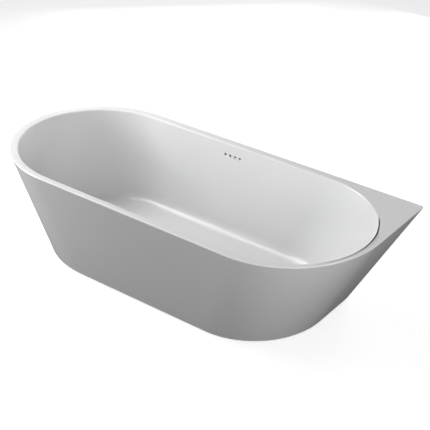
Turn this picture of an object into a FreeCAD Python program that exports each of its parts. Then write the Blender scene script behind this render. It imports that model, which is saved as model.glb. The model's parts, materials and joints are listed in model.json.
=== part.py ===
import FreeCAD, Part
import math
import os
import Sketcher

from FreeCAD import Placement, Rotation, Vector

# Back-to-wall freestanding bath: acrylic bath and skirt, steel cradle on levelling feet,
# click-clack waste with shallow trap, and an overflow hose.
#
# The frame has +X towards the square-cornered end, +Y towards the wall and +Z up.
# The origin lies on the floor under the middle of the rim. All lengths are in millimetres.

os.makedirs("parts", exist_ok=True)
doc = FreeCAD.newDocument("freestanding_bath")

# ---------------------------------------------------------------- driving dimensions
DIMENSIONS = [
    # rim outline
    ("rim_length", 1800), ("rim_width", 750), ("rim_height", 580),
    ("rim_left_reach", 420), ("rim_front_radius", 416), ("rim_back_radius", 12),
    # foot outline of the skirt
    ("foot_left", -850), ("foot_right", 577), ("foot_front", -190), ("foot_gap", 6),
    ("foot_left_reach", 372), ("foot_front_radius", 349), ("foot_back_radius", 12),
    # opening and floor of the basin
    ("lip_left", 40), ("lip_right", 32), ("lip_front", 29), ("lip_back", 37),
    ("opening_reach", 391), ("basin_depth", 430), ("floor_left", -735), ("floor_right", 600),
    ("floor_front", -215), ("floor_back", 305), ("floor_left_reach", 275),
    ("floor_right_reach", 310), ("floor_blend", 50),
    # walls
    ("shell_thickness", 6), ("flange_thickness", 6), ("skirt_thickness", 5),
    ("lip_round", 4), ("wall_trim", 0.2),
    # service opening in the back of the skirt
    ("service_left", -370), ("service_right", 350), ("service_top", 520),
    ("service_round", 40), ("drill_reach", 30),
    # board and cradle
    ("board_left", -560), ("board_length", 990), ("board_width", 300),
    ("board_thickness", 12), ("board_round", 100), ("axis_y", 42),
    ("tube_side", 25), ("tube_wall", 2), ("rail_left", -600), ("rail_length", 1120),
    ("rail_spread", 220), ("bar_side", 30), ("bar_front", -132), ("bar_length", 404),
    ("bar_left_x", -470), ("bar_middle_x", -170), ("bar_right_x", 380),
    ("bracket_width", 26), ("bracket_sheet", 3), ("bracket_rise", 34), ("bracket_reach", 150),
    ("bracket_lap", 13),
    ("screw_radius", 2.5), ("screw_gap", 0.1), ("head_radius", 5), ("head_height", 3),
    ("screw_spacing", 250), ("head_bevel", 1), ("screw_point", 3),
    ("screw_cover", 2),
    # levelling feet
    ("foot_inset", 22), ("pad_radius", 25), ("pad_height", 10), ("pad_floor", 4),
    ("stud_radius", 6), ("stud_top", 118), ("thread_gap", 0.05), ("nut_flats", 19),
    ("nut_height", 10), ("collar_radius", 10), ("collar_height", 4), ("stud_room", 1),
    ("pin_room", 0.2), ("pad_shoulder", 3),
    # waste
    ("waste_x", -18), ("shell_hole", 26), ("board_hole", 50),
    ("waste_flange_radius", 35), ("waste_flange_height", 3), ("seal_thickness", 2),
    ("waste_tube_radius", 23), ("waste_tube_wall", 2), ("waste_tube_depth", 40),
    ("guide_height", 5), ("guide_radius", 9), ("guide_arm", 4),
    ("stem_radius", 4), ("plug_radius", 31), ("plug_height", 5), ("plug_gap", 0.5),
    ("plug_skirt_radius", 18),
    ("spring_radius", 6.5), ("spring_wire", 0.9), ("spring_turns", 5),
    ("spring_room", 16), ("spring_gap", 0.2), ("stem_tail", 6), ("stem_collar", 3),
    ("stem_step", 2),
    ("body_flange_radius", 42), ("body_flange_height", 4), ("body_radius", 27),
    ("body_wall", 3), ("body_bottom", 58), ("inlet_height", 92), ("inlet_radius", 14),
    ("inlet_wall", 2.5), ("inlet_reach", 40), ("lower_seal_thickness", 3),
    # trap and outlet
    ("trap_radius", 36), ("trap_bottom", 6), ("trap_top", 50), ("trap_wall", 3),
    ("outlet_height", 29), ("outlet_radius", 20), ("outlet_wall", 2),
    ("outlet_boss_wall", 2.5), ("outlet_boss_end", 112), ("outlet_end", 330),
    ("outlet_start", 90), ("outlet_bead_start", 262), ("outlet_bead_length", 8),
    ("outlet_bead_radius", 21.5), ("outlet_nut_length", 18), ("outlet_nut_wall", 5),
    ("cap_step", 3),
    ("union_radius", 34), ("union_low", 52), ("union_high", 73),
    ("cap_radius", 17), ("cap_boss", 6), ("cap_thickness", 3),
    ("rib_length", 2), ("rib_width", 3), ("rib_margin", 1.5),
    # overflow
    ("overflow_x", -18), ("overflow_height", 525), ("overflow_radius", 6),
    ("overflow_pitch", 26), ("housing_length", 150), ("housing_height", 66),
    ("housing_front", 345), ("housing_back", 367), ("housing_wall", 3),
    ("seal_frame", 8), ("seal_reach", 20), ("spigot_height", 18), ("spigot_step", 3),
    ("spigot_wall", 2), ("hose_radius", 14), ("hose_wall", 2.5), ("hose_y", 356),
    ("hose_bend", 60), ("hose_nut_radius", 18), ("hose_nut_height", 20), ("hose_gap", 0.3),
]
sheet = doc.addObject("Spreadsheet::Sheet", "dimensions")
for row, (alias, value) in enumerate(DIMENSIONS, start=1):
    sheet.set("A%d" % row, alias)
    sheet.set("B%d" % row, str(value))
    sheet.setAlias("B%d" % row, alias)
doc.recompute()


def dim(alias):
    """The number in the cell with this alias."""
    return float(sheet.get(alias))


def formula(text):
    """Turn a formula in plain aliases into one that reads the sheet's cells."""
    words = sorted((alias for alias, _ in DIMENSIONS), key=len, reverse=True)
    pieces, rest = [], text
    while rest:
        for word in words:
            after = rest[len(word):len(word) + 1]
            if rest.startswith(word) and not (after.isalnum() or after == "_"):
                pieces.append("dimensions." + word)
                rest = rest[len(word):]
                break
        else:
            pieces.append(rest[0])
            rest = rest[1:]
    return "".join(pieces)


def bind(item, **sizes):
    """Bind properties to formulas; pos_x, pos_y and pos_z place the object."""
    for name, text in sizes.items():
        place = {"pos_x": ".Placement.Base.x", "pos_y": ".Placement.Base.y",
                 "pos_z": ".Placement.Base.z"}
        item.setExpression(place.get(name, name), formula(str(text)))
    return item


nodes = []


def keep(item, label):
    """Name an object as a finished sub-part."""
    item.Label = label
    nodes.append(item)
    return item


# ---------------------------------------------------------------- building helpers
def box(name, length, width, height, x, y, z):
    item = doc.addObject("Part::Box", name)
    return bind(item, Length=length, Width=width, Height=height, pos_x=x, pos_y=y, pos_z=z)


def rod(name, radius, height, x, y, z, turn=None):
    item = doc.addObject("Part::Cylinder", name)
    if turn:
        item.Placement = Placement(Vector(), turn)
    return bind(item, Radius=radius, Height=height, pos_x=x, pos_y=y, pos_z=z)


def fuse(name, items):
    item = doc.addObject("Part::MultiFuse", name)
    item.Shapes = items
    return item


def cut(name, base, tools):
    item = doc.addObject("Part::Cut", name)
    item.Base = base
    item.Tool = tools[0] if len(tools) == 1 else fuse(name + "_tools", tools)
    return item


def group(name, items):
    item = doc.addObject("Part::Compound", name)
    item.Links = items
    return item


def origin_plane(body, role):
    return next(f for f in body.Origin.OriginFeatures if f.Role == role)


def draw_loop(sketch, corners):
    """Draw a closed outline whose corners are bound to formulas."""
    first = sketch.GeometryCount
    rough = [(index, index * index) for index in range(len(corners))]
    for index, point in enumerate(rough):
        following = rough[(index + 1) % len(rough)]
        sketch.addGeometry(Part.LineSegment(Vector(*point, 0), Vector(*following, 0)), False)
    for index in range(len(corners)):
        following = (index + 1) % len(corners)
        sketch.addConstraint(
            Sketcher.Constraint("Coincident", first + index, 2, first + following, 1))
    for index, (across, up) in enumerate(corners):
        for kind, text in (("DistanceX", across), ("DistanceY", up)):
            number = sketch.addConstraint(
                Sketcher.Constraint(kind, -1, 1, first + index, 1, float(index + 1)))
            sketch.setExpression("Constraints[%d]" % number, formula(str(text)))


def turned(name, corners, x, y, z, turn=None):
    """A round piece: an outline of (radius, height) corners revolved about its own Z axis."""
    body = doc.addObject("PartDesign::Body", name)
    sketch = body.newObject("Sketcher::SketchObject", name + "_profile")
    sketch.AttachmentSupport = (origin_plane(body, "XZ_Plane"), [""])
    sketch.MapMode = "FlatFace"
    draw_loop(sketch, corners)
    revolution = body.newObject("PartDesign::Revolution", name + "_revolution")
    revolution.Profile = sketch
    revolution.ReferenceAxis = (sketch, ["V_Axis"])
    revolution.Angle = 360
    if turn:
        body.Placement = Placement(Vector(), turn)
    return bind(body, pos_x=x, pos_y=y, pos_z=z)


def hexagon_nut(name, flats, height, bore, x, y, z):
    blank = doc.addObject("Part::Prism", name + "_blank")
    blank.Polygon = 6
    bind(blank, Circumradius="(%s) / 2 / cos(30 deg)" % flats, Height=height,
         pos_x=x, pos_y=y, pos_z=z)
    return cut(name, blank, [rod(name + "_bore", bore, height, x, y, z)])


# ---------------------------------------------------------------- outlines of the bath
class Sides:
    """The four sides of an outline at one height."""

    def __init__(self, left, right, front, back):
        self.left, self.right, self.front, self.back = left, right, front, back

    def grown(self, by):
        return Sides(self.left - by, self.right + by, self.front - by, self.back + by)


def half_ellipse(centre, reach, half_width, outwards):
    """A half ellipse from one long side to the other; outwards is +1 at +X and -1 at -X."""
    top = centre + Vector(0, half_width, 0)
    side = centre + Vector(outwards * reach, 0, 0)
    if reach >= half_width:
        curve = Part.Ellipse(side, top, centre)
    else:
        curve = Part.Ellipse(top, side, centre)
    start = centre - Vector(0, outwards * half_width, 0)
    finish = centre + Vector(0, outwards * half_width, 0)
    first, last = curve.parameter(start), curve.parameter(finish)
    arc = Part.ArcOfEllipse(curve, first, last, True)
    middle = arc.value((arc.FirstParameter + arc.LastParameter) / 2)
    if (middle - centre).x * outwards < 0:
        arc = Part.ArcOfEllipse(curve, last, first, True)
    edge = arc.toShape()
    return edge


def corner_arc(centre, radius, start_angle):
    """A quarter circle that runs anticlockwise from start_angle, in degrees."""
    points = []
    for angle in (start_angle, start_angle + 45, start_angle + 90):
        turn = math.radians(angle)
        points.append(centre + Vector(radius * math.cos(turn), radius * math.sin(turn), 0))
    return Part.Arc(*points).toShape()


def straight(x0, y0, x1, y1, z):
    return Part.LineSegment(Vector(x0, y0, z), Vector(x1, y1, z)).toShape()


def rim_wire(sides, z, reach, front_radius, back_radius):
    """Rounded left end, one large front corner and one tight back corner on the right."""
    left, right, front, back = sides.left, sides.right, sides.front, sides.back
    bend_x, turn_x = left + reach, right - front_radius
    half = (back - front) / 2
    return Part.Wire([
        straight(bend_x, front, turn_x, front, z),
        corner_arc(Vector(turn_x, front + front_radius, z), front_radius, 270),
        straight(right, front + front_radius, right, back - back_radius, z),
        corner_arc(Vector(right - back_radius, back - back_radius, z), back_radius, 0),
        straight(right - back_radius, back, bend_x, back, z),
        half_ellipse(Vector(bend_x, front + half, z), reach, half, -1),
    ])


def oval_wire(sides, z, left_reach, right_reach):
    """Straight long sides and half-ellipse ends."""
    left, right, front, back = sides.left, sides.right, sides.front, sides.back
    half = (back - front) / 2
    middle = front + half
    return Part.Wire([
        straight(left + left_reach, front, right - right_reach, front, z),
        half_ellipse(Vector(right - right_reach, middle, z), right_reach, half, 1),
        straight(right - right_reach, back, left + left_reach, back, z),
        half_ellipse(Vector(left + left_reach, middle, z), left_reach, half, -1),
    ])


RIM = Sides(-dim("rim_length") / 2, dim("rim_length") / 2,
            -dim("rim_width") / 2, dim("rim_width") / 2)
FOOT = Sides(dim("foot_left"), dim("foot_right"), dim("foot_front"), RIM.back)
OPENING = Sides(RIM.left + dim("lip_left"), RIM.right - dim("lip_right"),
                RIM.front + dim("lip_front"), RIM.back - dim("lip_back"))
FLOOR = Sides(dim("floor_left"), dim("floor_right"), dim("floor_front"), dim("floor_back"))
TOP = dim("rim_height")
FLOOR_TOP = TOP - dim("basin_depth")
ROUND_STEPS = (0, 30, 60, 90)
BLEND_STEPS = 12


def level_slab(low, high):
    """Everything between two heights, larger than the bath."""
    length, width = 2 * dim("rim_length"), 2 * dim("rim_width")
    return Part.makeBox(length, width, high - low, Vector(-length / 2, -width / 2, low))


def room_in_front():
    """Everything on the room's side of the wall plane."""
    length, width = 2 * dim("rim_length"), 2 * dim("rim_width")
    return Part.makeBox(length, width, 2 * TOP, Vector(-length / 2, RIM.back - width, -TOP / 2))


def outline_at(z, inset):
    """The skirt's outline at one height, moved in by inset; it tapers evenly to the foot.

    Its back runs just past the wall plane, so that a flat cut can trim it there.
    """
    widest = TOP - dim("lip_round")
    share = (z - dim("foot_gap")) / (widest - dim("foot_gap"))

    def between(low, high):
        return low + share * (high - low)

    sides = Sides(between(FOOT.left, RIM.left), between(FOOT.right, RIM.right),
                  between(FOOT.front, RIM.front), RIM.back + dim("wall_trim"))
    return rim_wire(sides.grown(-inset), z,
                    between(dim("foot_left_reach"), dim("rim_left_reach")) - inset,
                    between(dim("foot_front_radius"), dim("rim_front_radius")) - inset,
                    between(dim("foot_back_radius"), dim("rim_back_radius")) - inset)


def body_form(inset):
    """The solid shape of the skirt's outside, moved in by inset."""
    form = Part.makeLoft([outline_at(TOP - dim("lip_round"), inset),
                          outline_at(dim("foot_gap"), inset)], True, True)
    return form.common(room_in_front())


def flange_form():
    """The rim as a plate whose upper outside edge is rounded."""
    radius = dim("lip_round")
    plate = Part.makeLoft([outline_at(SEAM, 0), outline_at(TOP - radius, 0)], True, True)
    rounds = []
    for angle in ROUND_STEPS:
        turn = math.radians(angle)
        height = TOP - radius + radius * math.sin(turn)
        wire = outline_at(TOP - radius, radius * (1 - math.cos(turn)))
        wire.translate(Vector(0, 0, height - (TOP - radius)))
        rounds.append(wire)
    return plate.fuse(Part.makeLoft(rounds, True, True)).common(room_in_front())


def wall_inset(total, rise, blend, depth):
    """How far one wall has moved in at a height above the floor, measured from the opening.

    The wall is straight and leans out; a fillet of radius blend joins it to the floor.
    """
    lean = math.atan2(total, depth)
    foot_length = blend / math.tan((math.pi / 2 + lean) / 2)
    tangent_rise = blend * (1 - math.sin(lean))
    if rise >= tangent_rise:
        return total * (1 - rise / depth)
    angle = math.asin((blend - rise) / blend)
    return total + foot_length - blend * math.cos(angle)


def basin_form(grow):
    """The solid shape of the water space, grown by the thickness of the shell."""
    depth, blend = dim("basin_depth"), dim("floor_blend")
    sections = []
    rises = [depth] + [blend * (1 - math.sin(math.pi / 2 * number / BLEND_STEPS))
                       for number in range(1, BLEND_STEPS + 1)]
    for rise in rises:
        insets = [wall_inset(abs(low - high), rise, blend, depth) for low, high in (
            (OPENING.left, FLOOR.left), (OPENING.right, FLOOR.right),
            (OPENING.front, FLOOR.front), (OPENING.back, FLOOR.back))]
        sides = Sides(OPENING.left + insets[0], OPENING.right - insets[1],
                      OPENING.front + insets[2], OPENING.back - insets[3])
        reaches = [dim("opening_reach") + grow
                   - wall_inset(dim("opening_reach") - dim(floor_reach), rise, blend, depth)
                   for floor_reach in ("floor_left_reach", "floor_right_reach")]
        height = FLOOR_TOP + rise - (grow if rise < depth else 0)
        sections.append(oval_wire(sides.grown(grow), height, *reaches))
    return Part.makeLoft(sections, True, True)


def lip_form():
    """What the rounded inner edge of the rim takes away above the opening."""
    radius = dim("lip_round")
    sections = []
    for angle in ROUND_STEPS:
        turn = math.radians(angle)
        grow = radius * (1 - math.cos(turn))
        height = TOP - radius + radius * math.sin(turn)
        reach = dim("opening_reach") + grow
        sections.append(oval_wire(OPENING.grown(grow), height, reach, reach))
    return Part.makeLoft(sections, True, True)


def upright(radius, height, x, y, z):
    return Part.makeCylinder(radius, height, Vector(x, y, z))


SEAM = TOP - dim("flange_thickness")
OUTSIDE = body_form(0)
INSIDE = body_form(dim("skirt_thickness"))
WATER = basin_form(0)
BASIN = basin_form(dim("shell_thickness"))
WASTE_X, AXIS_Y = dim("waste_x"), dim("axis_y")


def bath_shell():
    """Basin and rim in one formed sheet, with the waste hole and four overflow holes."""
    shell = flange_form().fuse(BASIN).cut(WATER).cut(lip_form())
    reach = dim("drill_reach")
    drill = upright(dim("shell_hole"), 2 * reach, WASTE_X, AXIS_Y, FLOOR_TOP - reach)
    shell = shell.cut(drill)
    for step in (-1.5, -0.5, 0.5, 1.5):
        x = dim("overflow_x") + step * dim("overflow_pitch")
        start = Vector(x, OPENING.back - reach, dim("overflow_height"))
        shell = shell.cut(Part.makeCylinder(dim("overflow_radius"), 2 * reach, start,
                                            Vector(0, 1, 0)))
    return shell


def outer_skirt():
    """The visible outside, open at the top, the bottom and the service opening."""
    skirt = OUTSIDE.common(level_slab(0, SEAM)).cut(INSIDE)
    low, high = dim("service_left"), dim("service_right")
    top, reach = dim("service_top"), dim("drill_reach")
    opening = Part.makeBox(high - low, 2 * reach, top, Vector(low, RIM.back - reach, 0))
    upper = [e for e in opening.Edges
             if e.BoundBox.ZMin > top - 1 and e.BoundBox.YLength > reach]
    return skirt.cut(opening.makeFillet(dim("service_round"), upper))


def placed(name, shape):
    """A sub-part whose shape comes from the functions above."""
    item = doc.addObject("Part::Feature", name)
    item.Shape = shape
    return keep(item, name)


placed("bath_shell", bath_shell())
placed("outer_skirt", outer_skirt())

# ---------------------------------------------------------------- base board and cradle
FLOOR_UNDER = "(rim_height - basin_depth - shell_thickness)"
BOARD_UNDER = "(%s - board_thickness)" % FLOOR_UNDER
RAIL_UNDER = "(%s - tube_side)" % BOARD_UNDER
BAR_UNDER = "(%s - bar_side)" % RAIL_UNDER


def base_board():
    """Stiffening board bonded under the floor, with a hole for the waste."""
    x0, x1 = "board_left", "(board_left + board_length - 2 * board_round)"
    slab = box("board_middle", "board_length", "board_width - 2 * board_round",
               "board_thickness", x0, "axis_y - board_width / 2 + board_round", BOARD_UNDER)
    wide = box("board_wide", "board_length - 2 * board_round", "board_width",
               "board_thickness", "board_left + board_round", "axis_y - board_width / 2",
               BOARD_UNDER)
    corners = []
    for end, x in (("left", x0), ("right", x1)):
        for side, sign in (("front", "-"), ("rear", "+")):
            corners.append(rod("board_corner_%s_%s" % (end, side), "board_round",
                               "board_thickness", x + " + board_round",
                               "axis_y %s (board_width / 2 - board_round)" % sign, BOARD_UNDER))
    hole = rod("board_hole_tool", "board_hole", "board_thickness", "waste_x", "axis_y",
               BOARD_UNDER)
    drills = [rod("board_pilot_%d" % number, "screw_radius + screw_gap", "board_thickness", x, y,
                  BOARD_UNDER) for number, (_, x, y) in enumerate(RAIL_SCREWS)]
    return cut("base_board", fuse("board_blank", [slab, wide] + corners), [hole] + drills)


RAIL_SCREWS = [(side, "waste_x %s screw_spacing" % along, "axis_y %s rail_spread / 2" % across)
               for side, across in (("front", "-"), ("rear", "+")) for along in ("-", "+")]
keep(base_board(), "base_board")


def square_tube(name, length, side, x, y, z, along_y=False, holes=()):
    """A square steel tube from its low corner, along X or along Y."""
    size = (side, length) if along_y else (length, side)
    outer = box(name + "_outer", size[0], size[1], side, x, y, z)
    wall = "tube_wall"
    hollow = "%s - 2 * %s" % (side, wall)
    if along_y:
        inner = box(name + "_inner", hollow, length, hollow, "%s + %s" % (x, wall), y,
                    "%s + %s" % (z, wall))
    else:
        inner = box(name + "_inner", length, hollow, hollow, x, "%s + %s" % (y, wall),
                    "%s + %s" % (z, wall))
    return cut(name, outer, [inner] + list(holes))


def screw(name, length, x, y, z, turn=None):
    """A pan-head screw with its head's seat at z, pointing up unless it is turned."""
    return turned(name, [
        (0, "-head_height"), ("head_radius - head_bevel", "-head_height"),
        ("head_radius", "head_bevel - head_height"), ("head_radius", 0), ("screw_radius", 0),
        ("screw_radius", "%s - screw_point" % length), ("screw_radius / 5", length),
        (0, length)], x, y, z, turn)


for side, sign in (("front", "-"), ("rear", "+")):
    drills = [rod("rail_%s_hole_%d" % (side, number), "screw_radius + screw_gap", "tube_side",
                  x, y, RAIL_UNDER)
              for number, (rail, x, y) in enumerate(RAIL_SCREWS) if rail == side]
    keep(square_tube("rail_" + side, "rail_length", "tube_side", "rail_left",
                     "axis_y %s rail_spread / 2 - tube_side / 2" % sign, RAIL_UNDER,
                     holes=drills), "rail_" + side)
keep(group("rail_screws", [
    screw("rail_screw_%d" % number, "tube_side + board_thickness - screw_cover", x, y,
          RAIL_UNDER)
    for number, (_, x, y) in enumerate(RAIL_SCREWS)]), "rail_screws")

FOOT_ROWS = ("bar_front + foot_inset", "bar_front + bar_length - foot_inset")
BARS = ("bar_left_x", "bar_middle_x", "bar_right_x")
BRACKET_SCREW_Y = "bar_front + bracket_lap / 2"
DOWNWARDS = Rotation(Vector(1, 0, 0), 180)
inserts, lock_nuts, bracket_screws = [], [], []
foot_number = 0
for bar, bar_x in zip(("left", "middle", "right"), BARS):
    drills = [rod("bracket_hole_" + bar, "screw_radius + screw_gap", "bar_side", bar_x,
                  BRACKET_SCREW_Y, BAR_UNDER)]
    bracket_screws.append(screw("bracket_screw_" + bar, "bar_side / 2", bar_x, BRACKET_SCREW_Y,
                                RAIL_UNDER + " + bracket_sheet", DOWNWARDS))
    for foot_y in FOOT_ROWS:
        foot_number += 1
        drills.append(rod("bar_hole_%d" % foot_number, "stud_radius + stud_room", "bar_side", bar_x,
                          foot_y, BAR_UNDER))
        bore = "stud_radius + thread_gap"
        inserts.append(hexagon_nut("insert_%d" % foot_number, "nut_flats", "nut_height", bore,
                                   bar_x, foot_y, BAR_UNDER + " - nut_height"))
        lock_nuts.append(hexagon_nut("lock_nut_%d" % foot_number, "nut_flats",
                                     "nut_height / 2", bore, bar_x, foot_y,
                                     BAR_UNDER + " - nut_height * 1.5"))
        stud = turned("foot_stud_%d" % foot_number, [
            (0, "pad_floor"), ("stud_radius", "pad_floor"), ("stud_radius", "pad_height"),
            ("collar_radius", "pad_height"), ("collar_radius", "pad_height + collar_height"),
            ("stud_radius", "pad_height + collar_height"), ("stud_radius", "stud_top"),
            (0, "stud_top")], bar_x, foot_y, "0")
        keep(stud, "foot_stud_%d" % foot_number)
        pad = turned("foot_pad_%d" % foot_number, [
            (0, 0), ("pad_radius - 1", 0), ("pad_radius", 1), ("pad_radius", "pad_floor"),
            ("collar_radius + pad_shoulder", "pad_height"),
            ("stud_radius + pin_room", "pad_height"), ("stud_radius + pin_room", "pad_floor"),
            (0, "pad_floor")], bar_x, foot_y, "0")
        keep(pad, "foot_pad_%d" % foot_number)
    keep(square_tube("cross_bar_" + bar, "bar_length", "bar_side", bar_x + " - bar_side / 2",
                     "bar_front", BAR_UNDER, along_y=True, holes=drills), "cross_bar_" + bar)
keep(group("threaded_inserts", inserts), "threaded_inserts")
keep(group("lock_nuts", lock_nuts), "lock_nuts")
keep(group("bracket_screws", bracket_screws), "bracket_screws")


def skirt_brackets():
    """Angle brackets from the front ends of the cross bars to the inside of the skirt."""
    width, sheet_metal = dim("bracket_width"), dim("bracket_sheet")
    bar_top = FLOOR_TOP - dim("shell_thickness") - dim("board_thickness") - dim("tube_side")
    start = dim("bar_front") + dim("bracket_lap")
    solids = []
    for alias in BARS:
        x = dim(alias) - width / 2
        leg = Part.makeBox(width, dim("bracket_reach"), sheet_metal,
                           Vector(x, start - dim("bracket_reach"), bar_top))
        leg = leg.common(INSIDE)
        rise = Part.makeBox(width, dim("bracket_reach"), dim("bracket_rise"),
                            Vector(x, start - dim("bracket_reach"), bar_top))
        skin = rise.common(INSIDE).cut(body_form(dim("skirt_thickness") + sheet_metal))
        hole = upright(dim("screw_radius") + dim("screw_gap"), 3 * sheet_metal, dim(alias),
                       dim("bar_front") + dim("bracket_lap") / 2, bar_top - sheet_metal)
        solids.append(leg.fuse(skin).removeSplitter().cut(hole))
    return Part.makeCompound(solids)


placed("skirt_brackets", skirt_brackets())

# ---------------------------------------------------------------- waste
FLANGE_UNDER = "(rim_height - basin_depth + seal_thickness)"
FLANGE_TOP = "(%s + waste_flange_height)" % FLANGE_UNDER
BODY_TOP = "(%s - lower_seal_thickness)" % FLOOR_UNDER
TUBE_END = "(%s - waste_tube_depth)" % FLANGE_UNDER
TUBE_BORE = "(waste_tube_radius - waste_tube_wall)"

keep(turned("waste_seal_upper", [
    ("waste_tube_radius + 0.5", "rim_height - basin_depth"),
    ("waste_flange_radius - 2", "rim_height - basin_depth"),
    ("waste_flange_radius - 2", FLANGE_UNDER), ("waste_tube_radius + 0.5", FLANGE_UNDER)],
    "waste_x", "axis_y", "0"), "waste_seal_upper")

keep(turned("waste_seal_lower", [
    ("shell_hole + 1", BODY_TOP), ("body_flange_radius - 2", BODY_TOP),
    ("body_flange_radius - 2", FLOOR_UNDER), ("shell_hole + 1", FLOOR_UNDER)],
    "waste_x", "axis_y", "0"), "waste_seal_lower")


def waste_flange():
    """Chrome seat ring and threaded tube, with a cross that guides the plug's stem."""
    ring = turned("waste_flange_ring", [
        (TUBE_BORE, TUBE_END), ("waste_tube_radius", TUBE_END),
        ("waste_tube_radius", FLANGE_UNDER), ("waste_flange_radius", FLANGE_UNDER),
        ("waste_flange_radius", FLANGE_UNDER + " + 1"),
        ("waste_flange_radius - 3", FLANGE_TOP), ("waste_tube_radius + 1", FLANGE_TOP),
        (TUBE_BORE, FLANGE_TOP + " - 2")], "waste_x", "axis_y", "0")
    boss = rod("waste_guide_boss", "guide_radius", "guide_height", "waste_x", "axis_y", TUBE_END)
    arms = [box("waste_guide_arm_x", "2 * waste_tube_radius - 2 * waste_tube_wall + 1",
                "guide_arm", "guide_height",
                "waste_x - waste_tube_radius + waste_tube_wall - 0.5",
                "axis_y - guide_arm / 2", TUBE_END),
            box("waste_guide_arm_y", "guide_arm",
                "2 * waste_tube_radius - 2 * waste_tube_wall + 1", "guide_height",
                "waste_x - guide_arm / 2",
                "axis_y - waste_tube_radius + waste_tube_wall - 0.5", TUBE_END)]
    bore = rod("waste_guide_bore", "stem_radius + thread_gap", "guide_height", "waste_x",
               "axis_y", TUBE_END)
    return cut("waste_flange", fuse("waste_flange_blank", [ring, boss] + arms), [bore])


keep(waste_flange(), "waste_flange")

PLUG_UNDER = "(%s + plug_gap)" % FLANGE_TOP
STEM_END = "(%s - stem_tail)" % TUBE_END
SPRING_LOW = "(%s + guide_height)" % TUBE_END
SPRING_HIGH = "(%s + spring_room)" % SPRING_LOW
keep(turned("waste_plug", [
    (0, STEM_END), ("stem_radius", STEM_END), ("stem_radius", SPRING_HIGH),
    ("guide_radius", SPRING_HIGH), ("guide_radius", SPRING_HIGH + " + stem_collar"),
    ("stem_radius + stem_step", SPRING_HIGH + " + stem_collar"),
    ("stem_radius + stem_step", PLUG_UNDER),
    ("plug_radius - 1", PLUG_UNDER), ("plug_radius", PLUG_UNDER + " + 1"),
    ("plug_radius - 1", PLUG_UNDER + " + plug_height - 2"),
    ("plug_radius - 6", PLUG_UNDER + " + plug_height - 0.6"),
    ("plug_radius / 2", PLUG_UNDER + " + plug_height"), (0, PLUG_UNDER + " + plug_height")],
    "waste_x", "axis_y", "0"), "waste_plug")
keep(turned("plug_seal", [
    ("stem_radius + stem_step + pin_room", PLUG_UNDER + " - lower_seal_thickness"),
    ("plug_skirt_radius", PLUG_UNDER + " - lower_seal_thickness"),
    ("plug_skirt_radius + 1.5", PLUG_UNDER),
    ("stem_radius + stem_step + pin_room", PLUG_UNDER)],
    "waste_x", "axis_y", "0"), "plug_seal")


def plug_spring():
    """Coil spring between the guide cross and the stem's collar."""
    wire, radius = dim("spring_wire"), dim("spring_radius")
    low = FLOOR_TOP + dim("seal_thickness") - dim("waste_tube_depth") + dim("guide_height")
    gap = dim("spring_gap")
    length = dim("spring_room") - 2 * wire - 2 * gap
    helix = Part.makeHelix(length / dim("spring_turns"), length, radius)
    section = Part.Wire(Part.Circle(Vector(radius, 0, 0), Vector(0, 1, 0), wire).toShape())
    coil = Part.Wire(helix).makePipeShell([section], True, True)
    coil.translate(Vector(WASTE_X, AXIS_Y, low + wire + gap))
    return coil


placed("plug_spring", plug_spring())

BACKWARDS = Rotation(Vector(1, 0, 0), -90)
FORWARDS = Rotation(Vector(1, 0, 0), 90)


def waste_body():
    """Flanged body under the floor, with the overflow's inlet towards the wall."""
    tube = turned("waste_body_tube", [
        ("body_radius - body_wall", "body_bottom"), ("body_radius", "body_bottom"),
        ("body_radius", BODY_TOP + " - body_flange_height"),
        ("body_flange_radius", BODY_TOP + " - body_flange_height"),
        ("body_flange_radius", BODY_TOP), ("body_radius - body_wall", BODY_TOP)],
        "waste_x", "axis_y", "0")
    spigot = rod("waste_inlet", "inlet_radius", "inlet_reach", "waste_x", "axis_y",
                 "inlet_height", BACKWARDS)
    inside = rod("waste_body_inside", "body_radius - body_wall", BODY_TOP, "waste_x", "axis_y", "0")
    bore = rod("waste_inlet_bore", "inlet_radius - inlet_wall", "inlet_reach + 1", "waste_x",
               "axis_y", "inlet_height", BACKWARDS)
    return cut("waste_body", fuse("waste_body_blank", [tube, spigot]), [inside, bore])


keep(waste_body(), "waste_body")


# ---------------------------------------------------------------- trap and outlet
def trap_body():
    """Shallow trap: a cup with a neck on top, an outlet boss and a cleaning boss."""
    cup = turned("trap_cup", [
        (0, "trap_bottom"), ("trap_radius - 4", "trap_bottom"),
        ("trap_radius", "trap_bottom + 4"), ("trap_radius", "trap_top - 4"),
        ("trap_radius - 4", "trap_top"), ("body_radius", "trap_top"),
        ("body_radius", "body_bottom"), (0, "body_bottom")], "waste_x", "axis_y", "0")
    boss = rod("trap_boss", "outlet_radius + outlet_boss_wall", "outlet_boss_end - axis_y",
               "waste_x", "axis_y", "outlet_height", BACKWARDS)
    clean = rod("trap_cleaning_boss", "cap_radius - cap_step", "trap_radius + cap_boss", "waste_x",
                "axis_y", "outlet_height", FORWARDS)
    hollow = turned("trap_hollow", [
        (0, "trap_bottom + trap_wall"), ("trap_radius - trap_wall", "trap_bottom + trap_wall"),
        ("trap_radius - trap_wall", "trap_top - trap_wall - 2"),
        ("body_radius - body_wall", "trap_top"), ("body_radius - body_wall", "body_bottom"),
        (0, "body_bottom")], "waste_x", "axis_y", "0")
    bore = rod("trap_bore", "outlet_radius + thread_gap", "outlet_boss_end", "waste_x",
               "axis_y + trap_radius - trap_wall - 6", "outlet_height", BACKWARDS)
    return cut("trap_body", fuse("trap_blank", [cup, boss, clean]), [hollow, bore])


keep(trap_body(), "trap_body")


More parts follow.
